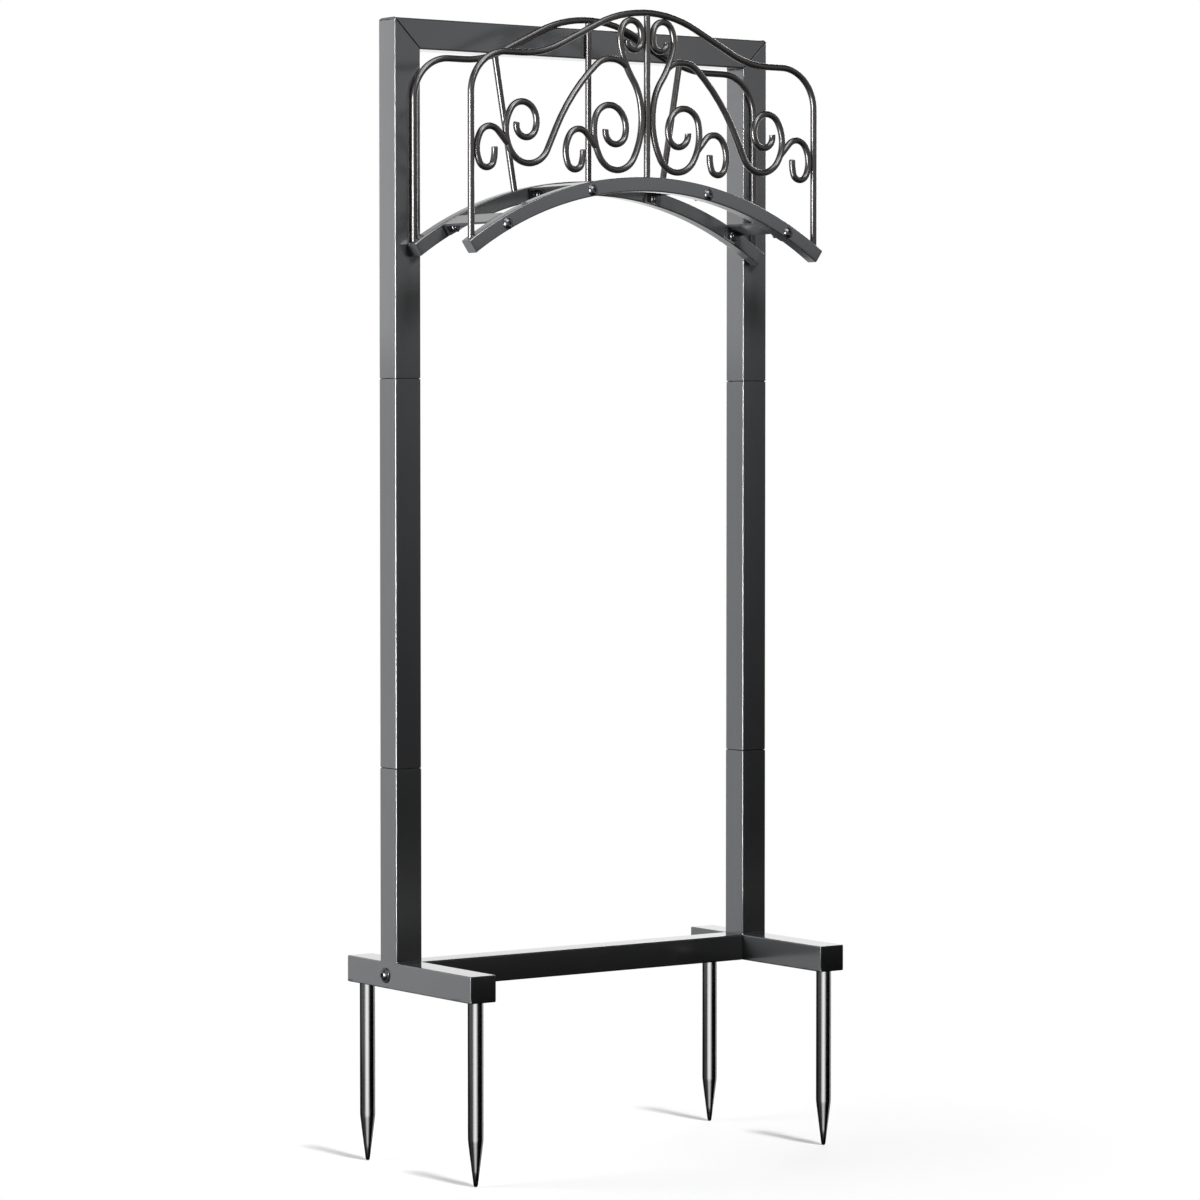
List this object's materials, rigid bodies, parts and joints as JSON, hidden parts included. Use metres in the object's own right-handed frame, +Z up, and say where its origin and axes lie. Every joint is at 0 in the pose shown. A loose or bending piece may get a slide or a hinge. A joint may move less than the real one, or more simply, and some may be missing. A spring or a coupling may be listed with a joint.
{
  "type": "hose stand",
  "caption": "Free-standing garden frame of square steel tube on ground spikes, with a curved saddle between two panels of bent rod for hanging a wound hose.",
  "frame": {"origin": "underside of the feet and the cross bar, midway between the two posts and on their centre plane", "axes": "+X runs along the cross bar to the right post, -Y is the front with the scrollwork panel, +Z is up"},
  "size_m": [0.3912, 0.184, 0.9558],
  "materials": {
    "frame_coat": "semi-gloss charcoal powder coat on square tube and strip",
    "rod_coat": "semi-gloss gunmetal powder coat on bent round rod",
    "spike_coat": "gloss black enamel on turned round bar",
    "bolt_steel": "dark zinc plated screws, washers and nuts"
  },
  "bodies": {
    "root": {"top_rail": "frame_coat", "left_upper_post": "frame_coat", "right_upper_post": "frame_coat", "left_middle_post": "frame_coat", "right_middle_post": "frame_coat", "left_lower_post": "frame_coat", "right_lower_post": "frame_coat", "left_upper_sleeve": "frame_coat", "right_upper_sleeve": "frame_coat", "left_lower_sleeve": "frame_coat", "right_lower_sleeve": "frame_coat", "left_foot": "frame_coat", "right_foot": "frame_coat", "left_foot_end_plates": "frame_coat", "right_foot_end_plates": "frame_coat", "cross_bar": "frame_coat", "cross_bar_blocks": "bolt_steel", "cross_bar_bolts": "bolt_steel", "cross_bar_washers": "bolt_steel", "front_left_spike": "spike_coat", "front_right_spike": "spike_coat", "rear_left_spike": "spike_coat", "rear_right_spike": "spike_coat", "spike_nuts": "bolt_steel", "front_arch": "frame_coat", "rear_arch": "frame_coat", "arch_end_plates": "frame_coat", "left_outer_strap": "frame_coat", "left_inner_strap": "frame_coat", "right_inner_strap": "frame_coat", "right_outer_strap": "frame_coat", "arch_bolts": "bolt_steel", "arch_nuts": "bolt_steel", "front_hoop": "rod_coat", "front_centre_rod": "rod_coat", "left_main_scroll": "rod_coat", "right_main_scroll": "rod_coat", "left_side_scroll": "rod_coat", "right_side_scroll": "rod_coat", "left_outer_curl": "rod_coat", "right_outer_curl": "rod_coat", "left_inner_curl": "rod_coat", "right_inner_curl": "rod_coat", "rear_hoop": "rod_coat", "rear_centre_rod": "rod_coat", "left_rear_brace": "rod_coat", "right_rear_brace": "rod_coat"}
  },
  "joints": []
}
